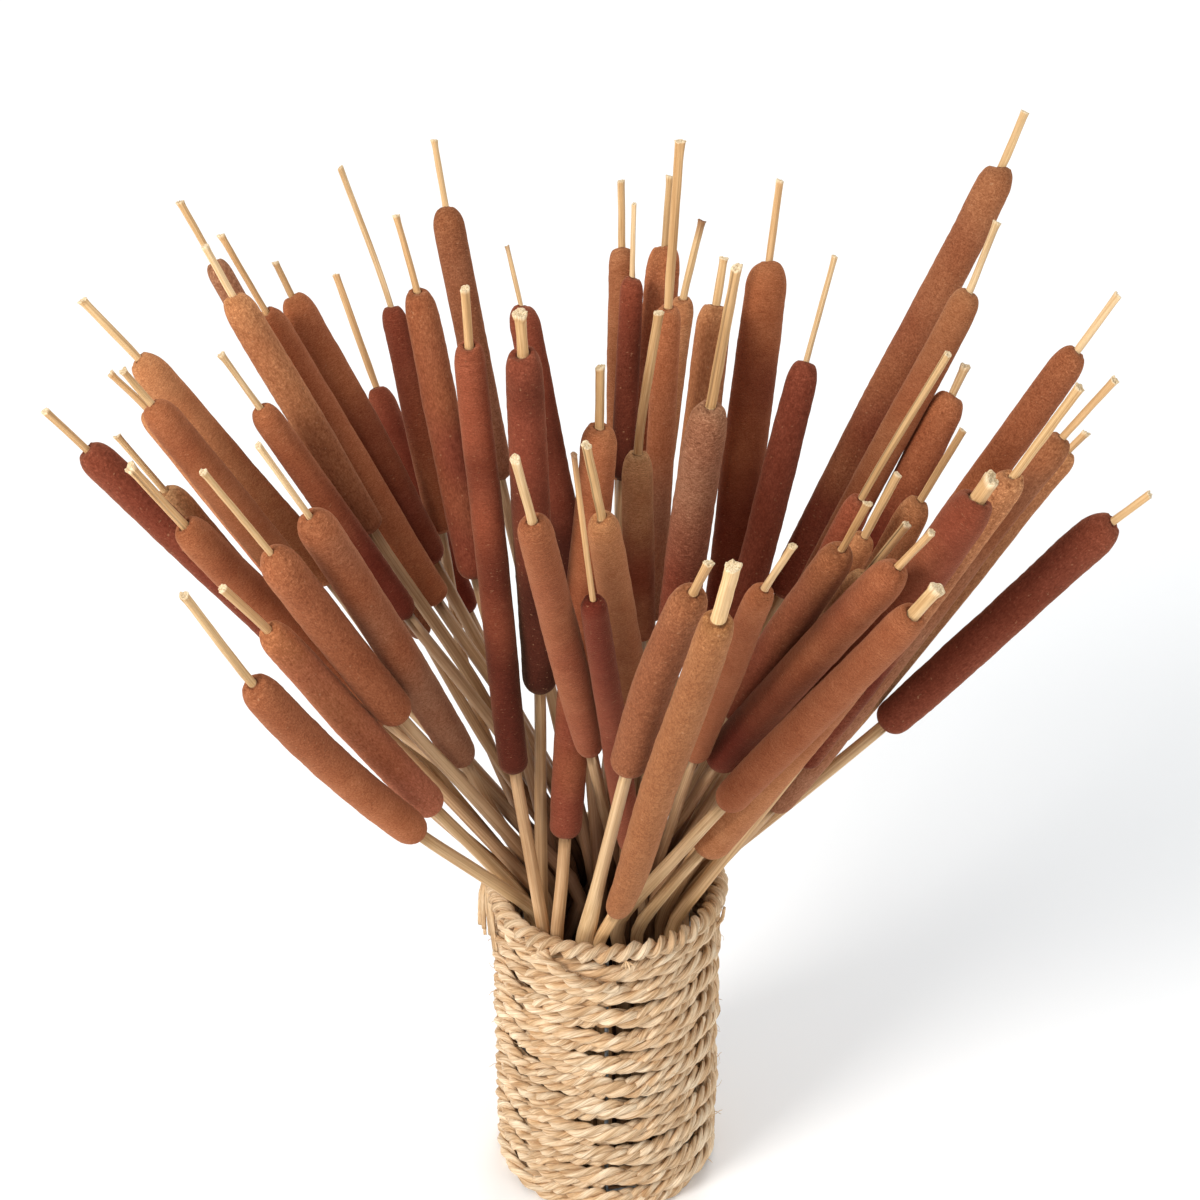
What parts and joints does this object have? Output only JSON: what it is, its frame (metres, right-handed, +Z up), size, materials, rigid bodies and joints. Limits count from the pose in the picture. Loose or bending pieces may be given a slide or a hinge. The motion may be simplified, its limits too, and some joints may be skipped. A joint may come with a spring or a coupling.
{
  "type": "cattail stems",
  "caption": "Dried cattail stems with felted brown seed heads and bare cut spikes, fanned out in a small round vase twined from seagrass cord.",
  "frame": {"origin": "centre of the vase's flat underside, where it rests", "axes": "+Z up along the vase's axis, the front of the bouquet faces -Y, +X to the right as seen from the front"},
  "size_m": [0.413, 0.3089, 0.4523],
  "materials": {
    "cattail": "matte",
    "seagrass_cord": "matte",
    "rim_cord": "matte",
    "base_cord": "matte",
    "wire": "satin"
  },
  "bodies": {
    "root": {"cattail_01": "cattail", "cattail_02": "cattail", "cattail_03": "cattail", "cattail_04": "cattail", "cattail_05": "cattail", "cattail_06": "cattail", "cattail_07": "cattail", "cattail_08": "cattail", "cattail_09": "cattail", "cattail_10": "cattail", "cattail_11": "cattail", "cattail_12": "cattail", "cattail_13": "cattail", "cattail_14": "cattail", "cattail_15": "cattail", "cattail_16": "cattail", "cattail_17": "cattail", "cattail_18": "cattail", "cattail_19": "cattail", "cattail_20": "cattail", "cattail_21": "cattail", "cattail_22": "cattail", "cattail_23": "cattail", "cattail_24": "cattail", "cattail_25": "cattail", "cattail_26": "cattail", "cattail_27": "cattail", "cattail_28": "cattail", "cattail_29": "cattail", "cattail_30": "cattail", "cattail_31": "cattail", "cattail_32": "cattail", "cattail_33": "cattail", "cattail_34": "cattail", "cattail_35": "cattail", "cattail_36": "cattail", "cattail_37": "cattail", "cattail_38": "cattail", "cattail_39": "cattail", "cattail_40": "cattail", "cattail_41": "cattail", "cattail_42": "cattail", "cattail_43": "cattail", "cattail_44": "cattail", "cattail_45": "cattail", "cattail_46": "cattail", "cattail_47": "cattail", "cattail_48": "cattail", "cattail_49": "cattail", "cattail_50": "cattail", "cattail_51": "cattail", "cattail_52": "cattail", "cattail_53": "cattail", "cattail_54": "cattail", "cattail_55": "cattail", "vase_wall": "seagrass_cord", "rim_rope": "rim_cord", "vase_base": "base_cord", "wire_frame": "wire"}
  },
  "joints": []
}
